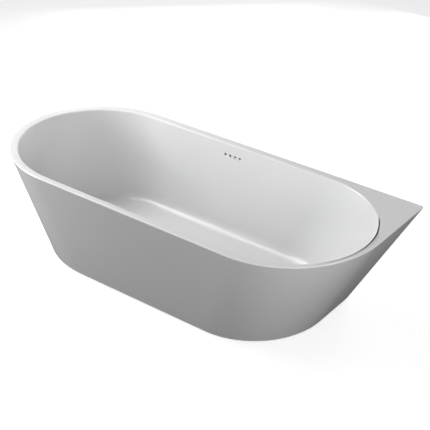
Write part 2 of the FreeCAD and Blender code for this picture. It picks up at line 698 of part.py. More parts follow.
def ribbed_nut(name, inner, outer, length, x, y, z, turn=None, ribs=12):
    """A hand-tightened plastic nut with grip ribs around it."""
    ring = turned(name + "_ring", [
        (inner, 0), ("%s - rib_margin" % outer, 0), ("%s - rib_margin" % outer, length),
        (inner, length)],
        "0", "0", "0")
    bars = []
    for number in range(ribs):
        bar = doc.addObject("Part::Box", "%s_rib_%d" % (name, number))
        bind(bar, Length="rib_length", Width="rib_width", Height="%s - 2 * rib_margin" % length)
        angle = 360.0 / ribs * number
        spin = Rotation(Vector(0, 0, 1), angle)
        bar.Placement = Placement(Vector(), spin)
        bind(bar, pos_x="(%s - rib_length) * cos(%g deg) + rib_width / 2 * sin(%g deg)"
             % (outer, angle, angle),
             pos_y="(%s - rib_length) * sin(%g deg) - rib_width / 2 * cos(%g deg)"
             % (outer, angle, angle), pos_z="rib_margin")
        bars.append(bar)
    nut = fuse(name, [ring] + bars)
    if turn:
        nut.Placement = Placement(Vector(), turn)
    return keep(bind(nut, pos_x=x, pos_y=y, pos_z=z), name)


ribbed_nut("trap_union_nut", "body_radius + thread_gap", "union_radius",
           "union_high - union_low", "waste_x", "axis_y", "union_low")
ribbed_nut("outlet_nut", "outlet_radius + outlet_boss_wall + thread_gap",
           "outlet_radius + outlet_boss_wall + outlet_nut_wall", "outlet_nut_length", "waste_x",
           "outlet_boss_end - outlet_nut_length", "outlet_height", BACKWARDS)
ribbed_nut("cleaning_cap_ring", "cap_radius - cap_step + thread_gap",
           "cap_radius + rib_margin", "cap_boss", "waste_x", "axis_y - trap_radius", "outlet_height", FORWARDS)
keep(turned("cleaning_cap", [
    (0, 0), ("cap_radius - 1", 0), ("cap_radius - 1", 2), ("cap_radius - 6", "cap_thickness"),
    (0, "cap_thickness")], "waste_x", "axis_y - trap_radius - cap_boss", "outlet_height",
    FORWARDS), "cleaning_cap")

outlet = rod("outlet_outer", "outlet_radius", "outlet_end - outlet_start", "waste_x",
             "outlet_start", "outlet_height", BACKWARDS)
outlet_bore = rod("outlet_bore", "outlet_radius - outlet_wall", "outlet_end - outlet_start",
                  "waste_x", "outlet_start", "outlet_height", BACKWARDS)
bead = rod("outlet_bead", "outlet_bead_radius", "outlet_bead_length", "waste_x",
           "outlet_bead_start", "outlet_height", BACKWARDS)
keep(cut("outlet_pipe", fuse("outlet_blank", [outlet, bead]), [outlet_bore]), "outlet_pipe")

# ---------------------------------------------------------------- overflow
HOUSING_LOW = "(overflow_height - housing_height / 2)"


def overflow_seal():
    """Foam frame between the sloping back wall and the flat overflow housing."""
    length, height = dim("housing_length"), dim("housing_height")
    low = dim("overflow_height") - height / 2
    front, wall = dim("housing_front"), dim("seal_frame")
    start = OPENING.back - dim("seal_reach")
    frame = Part.makeBox(length, front - start, height,
                         Vector(dim("overflow_x") - length / 2, start, low))
    window = Part.makeBox(length - 2 * wall, front - start, height - 2 * wall,
                          Vector(dim("overflow_x") - length / 2 + wall, start, low + wall))
    return frame.cut(window).cut(BASIN)


placed("overflow_seal", overflow_seal())


def overflow_housing():
    """Flat box behind the overflow holes with a spigot under it."""
    outer = box("housing_outer", "housing_length", "housing_back - housing_front",
                "housing_height", "overflow_x - housing_length / 2", "housing_front",
                HOUSING_LOW)
    spigot = rod("housing_spigot", "hose_radius - spigot_step", "spigot_height + housing_wall",
                 "overflow_x", "hose_y", HOUSING_LOW + " - spigot_height")
    inner = box("housing_inner", "housing_length - 2 * housing_wall",
                "housing_back - housing_front - housing_wall",
                "housing_height - 2 * housing_wall",
                "overflow_x - housing_length / 2 + housing_wall", "housing_front",
                HOUSING_LOW + " + housing_wall")
    bore = rod("housing_bore", "hose_radius - spigot_step - spigot_wall",
               "spigot_height + housing_wall",
               "overflow_x", "hose_y", HOUSING_LOW + " - spigot_height")
    return cut("overflow_housing", fuse("housing_blank", [outer, spigot]), [inner, bore])


keep(overflow_housing(), "overflow_housing")


def overflow_hose():
    """Hose down the back of the basin and under the floor to the waste body."""
    x, y, bend = dim("overflow_x"), dim("hose_y"), dim("hose_bend")
    top = dim("overflow_height") - dim("housing_height") / 2 - dim("spigot_height")
    low = dim("inlet_height")
    end = AXIS_Y + dim("inlet_reach")
    corner = Vector(x, y - bend, low + bend)
    middle = corner + Vector(0, bend * math.cos(math.pi / 4), -bend * math.sin(math.pi / 4))
    path = Part.Wire([
        Part.LineSegment(Vector(x, y, top), Vector(x, y, low + bend)).toShape(),
        Part.Arc(Vector(x, y, low + bend), middle, Vector(x, y - bend, low)).toShape(),
        Part.LineSegment(Vector(x, y - bend, low), Vector(x, end, low)).toShape(),
    ])
    solids = []
    for radius in (dim("hose_radius"), dim("hose_radius") - dim("hose_wall")):
        ring = Part.Wire(Part.Circle(Vector(x, y, top), Vector(0, 0, 1), radius).toShape())
        solids.append(path.makePipeShell([ring], True, False))
    length = (top - low - bend) + bend * math.pi / 2 + (y - bend - end)
    print("overflow hose length %.0f mm, bend radius %.0f mm" % (length, bend))
    return solids[0].cut(solids[1])


placed("overflow_hose", overflow_hose())
ribbed_nut("hose_nut_upper", "hose_radius + hose_gap", "hose_nut_radius", "hose_nut_height",
           "overflow_x", "hose_y", HOUSING_LOW + " - spigot_height - hose_nut_height / 2", ribs=8)
ribbed_nut("hose_nut_lower", "hose_radius + hose_gap", "hose_nut_radius", "hose_nut_height",
           "waste_x", "axis_y + inlet_reach - hose_nut_height / 2", "inlet_height", BACKWARDS,
           ribs=8)

# ---------------------------------------------------------------- check and write
doc.recompute()
for item in doc.Objects:
    if "Invalid" in item.State or "Error" in item.State:
        raise RuntimeError("%s failed to build: %s" % (item.Name, item.State))
for item in nodes:
    if item.Shape.isNull() or not item.Shape.isValid():
        raise RuntimeError("%s has no valid shape" % item.Label)
for item in nodes:
    bounds = item.Shape.BoundBox
    print("%-20s solids %d volume %10.0f  x %7.1f %7.1f  y %7.1f %7.1f  z %6.1f %6.1f" % (
        item.Label, len(item.Shape.Solids), item.Shape.Volume, bounds.XMin, bounds.XMax,
        bounds.YMin, bounds.YMax, bounds.ZMin, bounds.ZMax))
    item.Shape.exportStep("parts/%s.step" % item.Label)
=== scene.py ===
"""Back-to-wall freestanding bath in white acrylic, on a steel cradle with levelling feet.

Lengths are in metres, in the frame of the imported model: +X towards the square-cornered end,
+Y towards the wall and +Z up, with the origin on the floor.
"""

import json
import math

import bmesh
import bpy
from mathutils import Matrix, Vector


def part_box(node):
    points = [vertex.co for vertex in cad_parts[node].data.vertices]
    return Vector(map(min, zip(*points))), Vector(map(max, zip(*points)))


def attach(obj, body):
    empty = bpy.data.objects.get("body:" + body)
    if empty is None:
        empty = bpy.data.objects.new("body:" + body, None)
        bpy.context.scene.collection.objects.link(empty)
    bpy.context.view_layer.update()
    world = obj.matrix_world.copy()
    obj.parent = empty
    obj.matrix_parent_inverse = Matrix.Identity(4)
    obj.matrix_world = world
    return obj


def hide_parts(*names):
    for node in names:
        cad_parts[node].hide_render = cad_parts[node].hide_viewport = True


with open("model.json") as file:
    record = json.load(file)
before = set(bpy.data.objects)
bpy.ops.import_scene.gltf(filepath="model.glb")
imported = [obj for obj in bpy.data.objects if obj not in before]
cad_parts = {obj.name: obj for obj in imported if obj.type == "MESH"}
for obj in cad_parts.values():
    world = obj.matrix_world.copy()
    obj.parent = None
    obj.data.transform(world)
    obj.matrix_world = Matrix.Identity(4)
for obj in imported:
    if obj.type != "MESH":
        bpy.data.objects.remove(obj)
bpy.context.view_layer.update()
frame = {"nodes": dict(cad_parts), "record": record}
nodes = frame["nodes"]
MM = 0.001
SAME_PLACE = 1e-6
STUDIO_GLOW = 0.72
FEET = range(1, 7)


# ---------------------------------------------------------------- shader maths
class Value:
    """A socket that can be used like a number; each operation adds its Math node."""

    def __init__(self, finish, socket):
        self.finish, self.socket = finish, socket

    def math(self, operation, *values):
        return self.finish.node("ShaderNodeMath", {"operation": operation},
                                dict(enumerate(values)))

    def __add__(self, other):
        return self.math("ADD", self, other)

    def __sub__(self, other):
        return self.math("SUBTRACT", self, other)

    def __rsub__(self, other):
        return self.math("SUBTRACT", other, self)

    def __mul__(self, other):
        return self.math("MULTIPLY", self, other)

    __radd__, __rmul__ = __add__, __mul__

    def step(self, low, high):
        """0 below low and 1 above high, with a soft change between them."""
        return self.finish.node("ShaderNodeMapRange", {"interpolation_type": "SMOOTHSTEP"},
                                {"Value": self, "From Min": low, "From Max": high})


class Finish:
    """One procedural material on Object coordinates."""

    def __init__(self, name, **uniform):
        self.material = bpy.data.materials.new(name)
        self.material.use_nodes = True
        self.shader = self.material.node_tree.nodes["Principled BSDF"]
        self.place = self.node("ShaderNodeTexCoord", output="Object")
        for socket, value in uniform.items():
            self.shader.inputs[socket.replace("_", " ")].default_value = value

    def node(self, kind, settings=None, sockets=None, output=0):
        """Add a node, set its settings and then its sockets, and return one of its outputs."""
        made = self.material.node_tree.nodes.new(kind)
        for name, value in (settings or {}).items():
            if name == "stops":
                while len(made.color_ramp.elements) < len(value):
                    made.color_ramp.elements.new(0.5)
                for element, (position, colour) in zip(made.color_ramp.elements, value):
                    element.position, element.color = position, (*colour, 1)
            else:
                setattr(made, name, value)
        for socket, value in (sockets or {}).items():
            self.give(made.inputs[socket], value)
        return Value(self, made.outputs[output])

    def give(self, socket, value):
        if isinstance(value, Value):
            self.material.node_tree.links.new(value.socket, socket)
        elif socket.type == "RGBA":
            socket.default_value = (*value, 1)
        else:
            socket.default_value = value

    def noise(self, scale, detail=2, roughness=0.5, stretch=None):
        place = self.place
        if stretch:
            place = self.node("ShaderNodeMapping", None, {"Vector": place, "Scale": stretch})
        return self.node("ShaderNodeTexNoise", None, {
            "Vector": place, "Scale": scale, "Detail": detail, "Roughness": roughness})

    def cells(self, scale, output="Distance", place=None):
        return self.node("ShaderNodeTexVoronoi", None,
                         {"Vector": place or self.place, "Scale": scale}, output)

    def mix(self, share, low, high):
        """A colour between two, by share."""
        return self.node("ShaderNodeMix", {"data_type": "RGBA"},
                         {0: share, 6: low, 7: high}, 2)

    def tint(self, share, *stops):
        return self.node("ShaderNodeValToRGB", {"stops": stops}, {"Fac": share})

    def bump(self, height, distance, strength=1.0):
        self.surface(Normal=self.node("ShaderNodeBump", None, {
            "Height": height, "Distance": distance, "Strength": strength}))

    def surface(self, **values):
        for socket, value in values.items():
            self.give(self.shader.inputs[socket.replace("_", " ")], value)
        return self


def acrylic():
    """Glossy white cast sheet with a faint, long ripple from forming."""
    finish = Finish("acrylic", Coat_Roughness=0.08, IOR=1.49)
    cloud = finish.noise(2.4, detail=2)
    polish = finish.noise(120, detail=2)
    ripple = finish.noise(7, detail=0)
    finish.bump(ripple + polish * 0.004, 0.0006, 0.25)
    return finish.surface(
        Base_Color=finish.mix(cloud, (0.765, 0.77, 0.775), (0.80, 0.80, 0.795)),
        Roughness=0.21 + cloud * 0.05 + polish * 0.02, Coat_Weight=0.06 + cloud * 0.06)


def fibreglass():
    """Sprayed glass and resin on the hidden faces: short strands under a wet-looking coat."""
    finish = Finish("fibreglass")
    warped = finish.node("ShaderNodeVectorMath", {"operation": "ADD"}, {
        0: finish.place, 1: finish.node("ShaderNodeTexNoise", None, {
            "Vector": finish.place, "Scale": 45, "Detail": 2}, 1)})
    strands = finish.noise(60, detail=5, roughness=0.7, stretch=(1, 6, 3))
    crossing = finish.noise(60, detail=5, roughness=0.7, stretch=(5, 1, 4))
    lumps = finish.cells(38, place=warped)
    cloud = finish.noise(5, detail=3)
    fibre = (strands + crossing) * 0.5
    finish.bump(fibre + lumps * 0.6, 0.0009, 0.8)
    return finish.surface(
        Base_Color=finish.mix(fibre.step(0.4, 0.62) * 0.7 + cloud * 0.3, (0.50, 0.48, 0.39),
                              (0.76, 0.745, 0.66)),
        Roughness=0.36 + fibre * 0.35)


def chipboard():
    """Pressed wood flakes, sealed with thin resin."""
    finish = Finish("chipboard")
    flat = finish.node("ShaderNodeMapping", None, {"Vector": finish.place,
                                                   "Scale": (1, 1.7, 3)})
    flakes = finish.cells(140, output="Color", place=flat)
    edges = finish.cells(140, place=flat)
    tone = finish.node("ShaderNodeSeparateColor", None, {"Color": flakes})
    resin = finish.noise(7, detail=4)
    finish.bump(tone + edges * 0.5, 0.0005, 0.6)
    return finish.surface(
        Base_Color=finish.tint(tone, (0.0, (0.28, 0.18, 0.09)), (0.45, (0.47, 0.33, 0.18)),
                               (0.8, (0.60, 0.45, 0.27)), (1.0, (0.70, 0.57, 0.38))),
        Roughness=0.5 + resin * 0.35)


def galvanised():
    """Zinc-coated tube with crystal spangle."""
    finish = Finish("galvanised")
    spangle = finish.cells(75, output="Color")
    tone = finish.node("ShaderNodeSeparateColor", None, {"Color": spangle})
    dust = finish.noise(9, detail=5, roughness=0.65)
    scratch = finish.noise(30, detail=2, stretch=(1, 14, 14))
    finish.bump(tone * 0.5 + scratch * 0.5, 0.00012, 0.5)
    return finish.surface(
        Base_Color=finish.mix(tone * 0.6 + dust * 0.4, (0.44, 0.46, 0.48), (0.70, 0.72, 0.73)),
        Roughness=0.30 + tone * 0.16 + dust * 0.16, Metallic=1 - dust.step(0.62, 0.8) * 0.35)


def bright_zinc():
    """Plated screws, studs and nuts, with the faint colours of the passivation."""
    finish = Finish("bright_zinc", Metallic=1.0)
    film = finish.noise(60, detail=2)
    wear = finish.noise(260, detail=3, roughness=0.7)
    finish.bump(wear, 0.00005, 0.5)
    return finish.surface(
        Base_Color=finish.tint(film, (0.3, (0.62, 0.64, 0.68)), (0.5, (0.74, 0.73, 0.68)),
                               (0.7, (0.66, 0.68, 0.72))),
        Roughness=0.2 + wear * 0.2)


def spring_steel():
    finish = Finish("spring_steel", Metallic=1.0)
    drawn = finish.noise(240, detail=2)
    finish.bump(drawn, 0.00002, 0.5)
    return finish.surface(
        Base_Color=finish.mix(drawn, (0.42, 0.42, 0.43), (0.62, 0.62, 0.63)),
        Roughness=0.16 + drawn * 0.16)


def chrome():
    """Polished plating with a few dried water marks."""
    finish = Finish("chrome", Metallic=1.0)
    haze = finish.noise(35, detail=4, roughness=0.6)
    marks = 1 - finish.cells(110).step(0.12, 0.2)
    spots = marks * finish.noise(22).step(0.55, 0.65)
    finish.bump(haze, 0.00002, 0.4)
    return finish.surface(
        Base_Color=finish.mix(spots, (0.80, 0.805, 0.815), (0.72, 0.725, 0.73)),
        Roughness=0.05 + haze * 0.07 + spots * 0.12)


def rubber():
    finish = Finish("rubber")
    bloom = finish.noise(90, detail=4, roughness=0.7)
    grain = finish.noise(900, detail=1)
    finish.bump(grain, 0.00006, 0.6)
    return finish.surface(
        Base_Color=finish.mix(bloom, (0.022, 0.022, 0.024), (0.055, 0.055, 0.056)),
        Roughness=0.55 + bloom * 0.25)


def moulded(name, low, high, roughness, grain_scale=420):
    """Injection-moulded plastic: fine spark-eroded grain and a slow change of sheen."""
    finish = Finish(name)
    sheen = finish.noise(18, detail=3)
    grain = finish.noise(grain_scale, detail=3, roughness=0.65)
    finish.bump(grain, 0.00008, 0.6)
    return finish.surface(Base_Color=finish.mix(sheen, low, high),
                          Roughness=roughness + sheen * 0.12 + grain * 0.06)


ACRYLIC, FIBREGLASS = acrylic(), fibreglass()
BOARD, GALVANISED, ZINC = chipboard(), galvanised(), bright_zinc()
SPRING, CHROME, RUBBER = spring_steel(), chrome(), rubber()
WHITE_PLASTIC = moulded("white_plastic", (0.70, 0.70, 0.69), (0.80, 0.80, 0.785), 0.34)
GREY_PLASTIC = moulded("grey_plastic", (0.33, 0.335, 0.34), (0.42, 0.425, 0.43), 0.38)
HOSE_PLASTIC = moulded("hose_plastic", (0.60, 0.605, 0.61), (0.70, 0.70, 0.70), 0.42, 260)
BLACK_PLASTIC = moulded("black_plastic", (0.018, 0.018, 0.019), (0.04, 0.04, 0.042), 0.45)


# ---------------------------------------------------------------- making pieces
def mark_edges(bm, angle=math.radians(32)):
    """Smooth shading everywhere but across sharp edges."""
    for face in bm.faces:
        face.smooth = True
    for edge in bm.edges:
        edge.smooth = edge.calc_face_angle(0) < angle


def add_object(name, bm, *finishes):
    """Turn a bmesh into an object at the origin, and free it."""
    mesh = bpy.data.meshes.new(name)
    bm.to_mesh(mesh)
    bm.free()
    thing = bpy.data.objects.new(name, mesh)
    bpy.context.scene.collection.objects.link(thing)
    for finish in finishes:
        mesh.materials.append(finish.material)
    return thing


def piece(name, bm, finishes, slot, body, *stands_for):
    """Turn a bmesh into a piece that rides on a body in place of some nodes."""
    bmesh.ops.remove_doubles(bm, verts=bm.verts, dist=SAME_PLACE)
    bmesh.ops.recalc_face_normals(bm, faces=bm.faces)
    mark_edges(bm)
    thing = add_object(name, bm, *finishes)
    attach(thing, body)
    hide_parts(*stands_for)
    return thing


def even_shading(thing):
    """Keep the flat faces flat beside the rounded edges."""
    modifier = thing.modifiers.new("even shading", "WEIGHTED_NORMAL")
    modifier.keep_sharp = True
    return thing


def cut_away(thing, *cutters):
    """Cut other meshes out of a piece and keep the result as its mesh."""
    for bm in cutters:
        bmesh.ops.recalc_face_normals(bm, faces=bm.faces)
        cutter = add_object("cutter", bm)
        modifier = thing.modifiers.new("cut", "BOOLEAN")
        modifier.operation, modifier.solver, modifier.object = "DIFFERENCE", "EXACT", cutter
        graph = bpy.context.evaluated_depsgraph_get()
        result = bpy.data.meshes.new_from_object(thing.evaluated_get(graph))
        thing.modifiers.remove(modifier)
        bpy.data.objects.remove(cutter)
        thing.data = result
    bm = bmesh.new()
    bm.from_mesh(thing.data)
    bmesh.ops.dissolve_degenerate(bm, edges=bm.edges, dist=SAME_PLACE)
    mark_edges(bm)
    bm.to_mesh(thing.data)
    bm.free()
    return thing


def arc(start, centre, angle, steps, stretch=1.0):
    """The corners of one arc, spun about its centre and then stretched along X."""
    bm = bmesh.new()
    bmesh.ops.spin(bm, geom=[bm.verts.new(start)], cent=centre, axis=(0, 0, 1), angle=angle,
                   steps=steps)
    bmesh.ops.scale(bm, vec=(stretch, 1, 1), space=Matrix.Translation(-centre),
                    verts=bm.verts)
    corners = [v.co.copy() for v in bm.verts]
    bm.free()
    return corners


def half_oval(x, z, front, back, reach, outwards):
    """Half an ellipse from one long side to the other, anticlockwise."""
    half = (back - front) / 2
    centre = Vector((x, front + half, z))
    return arc(centre - Vector((0, outwards * half, 0)), centre, math.pi, END_STEPS,
               reach / half)


def oval_outline(sides, z, left_reach, right_reach):
    """Straight long sides and half-ellipse ends."""
    left, right, front, back = sides
    return (half_oval(left + left_reach, z, front, back, left_reach, -1)
            + half_oval(right - right_reach, z, front, back, right_reach, 1))


def rim_outline(sides, z, reach, front_radius, back_radius):
    """Rounded left end, one large front corner and one tight back corner on the right."""
    left, right, front, back = sides
    front_centre = Vector((right - front_radius, front + front_radius, z))
    back_centre = Vector((right - back_radius, back - back_radius, z))
    return (half_oval(left + reach, z, front, back, reach, -1)
            + arc(front_centre - Vector((0, front_radius, 0)), front_centre, math.pi / 2,
                  FRONT_STEPS)
            + arc(back_centre + Vector((back_radius, 0, 0)), back_centre, math.pi / 2,
                  END_STEPS - FRONT_STEPS - 1))


def draw(bm, corners):
    """A closed ring through some corners."""
    ring = [bm.verts.new(corner) for corner in corners]
    for pair in zip(ring, ring[1:] + ring[:1]):
        bm.edges.new(pair)
    return ring


def edges_of(*rings):
    """The edges that run along some rings."""
    found = set()
    for ring in rings:
        members = set(ring)
        found |= {e for v in ring for e in v.link_edges if e.other_vert(v) in members}
    return list(found)


def extend(bm, ring, finish_index, *outlines):
    """Extrude a ring onto each outline in turn; returns the new rings."""
    rings = []
    for outline in outlines:
        made = bmesh.ops.extrude_edge_only(bm, edges=edges_of(ring))["geom"]
        new = {item for item in made if isinstance(item, bmesh.types.BMVert)}
        ring = [next(e.other_vert(v) for e in v.link_edges if e.other_vert(v) in new)
                for v in ring]
        for vertex, corner in zip(ring, outline):
            vertex.co = corner
        for face in {f for e in edges_of(ring) for f in e.link_faces}:
            face.material_index = finish_index
        rings.append(ring)
    return rings


def lid(bm, ring, finish_index):
    """Close a ring with one flat face."""
    for face in bmesh.ops.edgeloop_fill(bm, edges=edges_of(ring))["faces"]:
        face.material_index = finish_index


def round_off(bm, edges, width, segments):
    bmesh.ops.bevel(bm, geom=edges, offset=width, offset_type="OFFSET", segments=segments,
                    profile=0.5, affect="EDGES", material=-1, clamp_overlap=False)


def lathe(bm, corners, centre, steps=64, turn=None):
    """Revolve an outline of (radius, height) corners about an upright axis."""
    before = set(bm.verts)
    line = [bm.verts.new((radius, 0, height)) for radius, height in corners]
    edges = [bm.edges.new(pair) for pair in zip(line, line[1:])]
    bmesh.ops.spin(bm, geom=line + edges, cent=(0, 0, 0), axis=(0, 0, 1), angle=math.tau,
                   steps=steps, use_merge=True)
    made = [v for v in bm.verts if v not in before]
    bmesh.ops.remove_doubles(bm, verts=made, dist=SAME_PLACE)
    made = [v for v in bm.verts if v not in before]
    place = Matrix.Translation(centre) @ (turn or Matrix.Identity(4))
    bmesh.ops.transform(bm, matrix=place, verts=made)


# ---------------------------------------------------------------- bath shell and skirt
END_STEPS, FRONT_STEPS, HOLE_STEPS = 80, 56, 48
skirt_low, skirt_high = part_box("outer_skirt")
shell_low, shell_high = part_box("bath_shell")
TOP, SEAM = shell_high.z, skirt_high.z
FOOT_GAP = skirt_low.z
LIP_ROUND, CREASE_ROUND = 4 * MM, 40 * MM
RIM = (shell_low.x, shell_high.x, shell_low.y, shell_high.y)
FOOT = (-0.850, 0.577, -0.190, RIM[3])
RIM_BENDS, FOOT_BENDS = (0.420, 0.416, 0.012), (0.372, 0.349, 0.012)
OPENING = (RIM[0] + 0.040, RIM[1] - 0.032, RIM[2] + 0.029, RIM[3] - 0.037)
OPENING_REACHES = (0.391, 0.391)
FLOOR_TOP = TOP - 0.430
FLOOR = (-0.735, 0.600, -0.215, 0.305)
FLOOR_REACHES = (0.275, 0.310)
SHELL_WALL, SKIRT_WALL = 6 * MM, 5 * MM


def grown(sides, by):
    left, right, front, back = sides
    return left - by, right + by, front - by, back + by


def skirt_outline(z, inset=0.0):
    """The skirt's outline at one height; it tapers evenly from the rim to the foot."""
    share = min(1.0, (z - FOOT_GAP) / (TOP - LIP_ROUND - FOOT_GAP))
    sides = [low + share * (high - low) for low, high in zip(FOOT, RIM)]
    bends = [low + share * (high - low) - inset for low, high in zip(FOOT_BENDS, RIM_BENDS)]
    return rim_outline(grown(sides, -inset), z, *bends)


def basin_outline(sides, z, reaches, grow=0.0):
    return oval_outline(grown(sides, grow), z, *[reach + grow for reach in reaches])


def bath_shell():
    """Rim and basin in one sheet: a gloss face outside and the sprayed back under it."""
    bm = bmesh.new()
    seam = draw(bm, skirt_outline(SEAM))
    edge, lip, crease = extend(
        bm, seam, 0, skirt_outline(TOP), basin_outline(OPENING, TOP, OPENING_REACHES),
        basin_outline(FLOOR, FLOOR_TOP, FLOOR_REACHES))
    lid(bm, crease, 0)
    _, under_crease = extend(
        bm, seam, 1, basin_outline(OPENING, SEAM, OPENING_REACHES, SHELL_WALL),
        basin_outline(FLOOR, FLOOR_TOP - SHELL_WALL, FLOOR_REACHES, SHELL_WALL))
    lid(bm, under_crease, 1)
    round_off(bm, edges_of(edge), LIP_ROUND, 5)
    round_off(bm, edges_of(lip), 1.4 * LIP_ROUND, 6)
    round_off(bm, edges_of(crease), CREASE_ROUND, 14)
    round_off(bm, edges_of(under_crease), CREASE_ROUND + 4 * MM, 12)
    return piece("bath_shell_form", bm, (ACRYLIC, FIBREGLASS), "acrylic", "bath",
                 "bath_shell")


def block(low, high):
    """A box between two corners."""
    bm = bmesh.new()
    bmesh.ops.create_cube(bm, size=1, matrix=Matrix.Translation((low + high) / 2)
                          @ Matrix.Diagonal((*(high - low), 1)))
    return bm


def round_cutter(radius, length, centre, turn=None, flare=0.0):
    """A rod that opens out at its middle, to cut a hole with a softened edge."""
    bm = bmesh.new()
    end = length / 2
    slope = [(radius, -flare), (radius + flare, 0)] if flare else []
    lathe(bm, [(0, -end), (radius, -end), *slope, (radius + flare, end), (0, end)],
          centre, HOLE_STEPS, turn)
    return bm


FORWARDS = Matrix.Rotation(math.pi / 2, 4, "X")
flange_low, flange_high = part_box("waste_flange")
waste = Vector(((flange_low.x + flange_high.x) / 2, (flange_low.y + flange_high.y) / 2, 0))
OVERFLOW_Z = 0.525
OVERFLOW_PITCH, OVERFLOW_RADIUS, OVERFLOW_FLARE = 26 * MM, 6 * MM, 1.2 * MM
WASTE_RADIUS = 26 * MM

shell = bath_shell()
holes = []
lean = (OPENING[3] - FLOOR[3]) / (TOP - FLOOR_TOP)
wall_y = OPENING[3] - lean * (TOP - OVERFLOW_Z)
for number in (-1.5, -0.5, 0.5, 1.5):
    centre = Vector((waste.x + number * OVERFLOW_PITCH, wall_y + OVERFLOW_FLARE, OVERFLOW_Z))
    holes.append(round_cutter(OVERFLOW_RADIUS, 50 * MM, centre, FORWARDS,
                              OVERFLOW_FLARE))
holes.append(round_cutter(WASTE_RADIUS, 40 * MM, waste + Vector((0, 0, FLOOR_TOP))))
even_shading(cut_away(shell, *holes))


def outer_skirt():
    bm = bmesh.new()
    outer_high = draw(bm, skirt_outline(SEAM))
    _, inner_low = extend(bm, outer_high, 0, skirt_outline(FOOT_GAP),
                          skirt_outline(FOOT_GAP, SKIRT_WALL))
    extend(bm, inner_low, 1, skirt_outline(SEAM, SKIRT_WALL), skirt_outline(SEAM))
    bmesh.ops.remove_doubles(bm, verts=bm.verts, dist=SAME_PLACE)
    low_edges = [e for e in bm.edges if all(v.co.z < FOOT_GAP + 0.1 * MM for v in e.verts)
                 and len({round(f.normal.z) for f in e.link_faces}) > 1]
    round_off(bm, low_edges, 1.5 * MM, 3)
    return piece("outer_skirt_form", bm, (ACRYLIC, FIBREGLASS), "acrylic", "bath",
                 "outer_skirt")


def service_cutter():
    """A block with two rounded upper corners, to cut the service opening."""
    left, right, top, corner_radius, reach = -0.370, 0.350, 0.520, 0.040, 0.030
    bm = block(Vector((left, RIM[3] - reach, -0.04)), Vector((right, RIM[3] + reach, top)))
    upper = [e for e in bm.edges if all(v.co.z > top - 0.02 for v in e.verts)
             and abs(e.verts[0].co.y - e.verts[1].co.y) > 0.01]
    round_off(bm, upper, corner_radius, 12)
    return bm


even_shading(cut_away(outer_skirt(), service_cutter()))


# ---------------------------------------------------------------- cradle
STUD_HOLE_RADIUS = 7 * MM


def square_tube(name, wall=2 * MM):
    """A welded tube with rounded corners, open at both ends."""
    low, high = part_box(name)
    size = high - low
    along = 0 if size.x > size.y else 1
    bm = block(low, high)
    ends = [f for f in bm.faces if abs(f.normal[along]) > 0.9]
    bmesh.ops.delete(bm, geom=ends, context="FACES_ONLY")
    long_edges = [e for e in bm.edges
                  if abs(e.verts[0].co[along] - e.verts[1].co[along]) > size[along] / 2]
    round_off(bm, long_edges, 3 * MM, 5)
    bmesh.ops.recalc_face_normals(bm, faces=bm.faces)
    bmesh.ops.solidify(bm, geom=bm.faces[:], thickness=wall)
    return piece(name + "_tube", bm, (GALVANISED,), "frame_steel", "bath", name)


for rail in ("rail_front", "rail_rear"):
    even_shading(square_tube(rail))
for bar in ("cross_bar_left", "cross_bar_middle", "cross_bar_right"):
    tube = square_tube(bar)
    tube_low, tube_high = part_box(bar)
    drills = []
    for number in FEET:
        stud_low, stud_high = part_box("foot_stud_%d" % number)
        if tube_low.x < stud_low.x < tube_high.x:
            centre = (stud_low + stud_high) / 2
            centre.z = (tube_low.z + tube_high.z) / 2
            drills.append(round_cutter(STUD_HOLE_RADIUS, 40 * MM, centre))
    even_shading(cut_away(tube, *drills))

THREAD_PITCH, THREAD_STEPS = 1.75 * MM, 18


def threaded_stud(number):
    """A levelling stud: rolled thread above a collar and a pin that turns in the pad."""
    name = "foot_stud_%d" % number
    low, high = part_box(name)
    centre = Vector(((low.x + high.x) / 2, (low.y + high.y) / 2, 0))
    crest, root, collar, chamfer = 6 * MM, 5.05 * MM, 10 * MM, 0.6 * MM
    collar_low, collar_high = low.z + 6 * MM, low.z + 10 * MM
    bm = bmesh.new()
    turns = int((high.z - collar_high) / THREAD_PITCH) - 1
    start = collar_high + 0.4 * MM
    tooth = [bm.verts.new((radius, 0, start + share * THREAD_PITCH))
             for radius, share in ((root, 0), (root, 0.12), (crest, 0.45), (crest, 0.6),
                                   (root, 1))]
    edges = [bm.edges.new(pair) for pair in zip(tooth, tooth[1:])]
    bmesh.ops.spin(bm, geom=tooth + edges, cent=(0, 0, 0), axis=(0, 0, 1),
                   dvec=(0, 0, THREAD_PITCH / THREAD_STEPS), angle=math.tau * turns,
                   steps=THREAD_STEPS * turns)
    bmesh.ops.remove_doubles(bm, verts=bm.verts, dist=1e-5)
    bmesh.ops.holes_fill(bm, edges=[e for e in bm.edges if e.is_boundary], sides=0)
    bmesh.ops.translate(bm, vec=centre, verts=bm.verts)
    lathe(bm, [(0, low.z), (root, low.z), (crest, low.z + 1 * MM), (crest, collar_low),
               (collar - chamfer, collar_low), (collar, collar_low + chamfer),
               (collar, collar_high - chamfer), (collar - chamfer, collar_high),
               (root - 0.1 * MM, collar_high), (root - 0.1 * MM, high.z - 0.5 * MM),
               (root - 0.6 * MM, high.z), (0, high.z)], centre, 36)
    return piece(name + "_thread", bm, (ZINC,), "zinc_steel", "foot_%d" % number, name)


for number in FEET:
    threaded_stud(number)


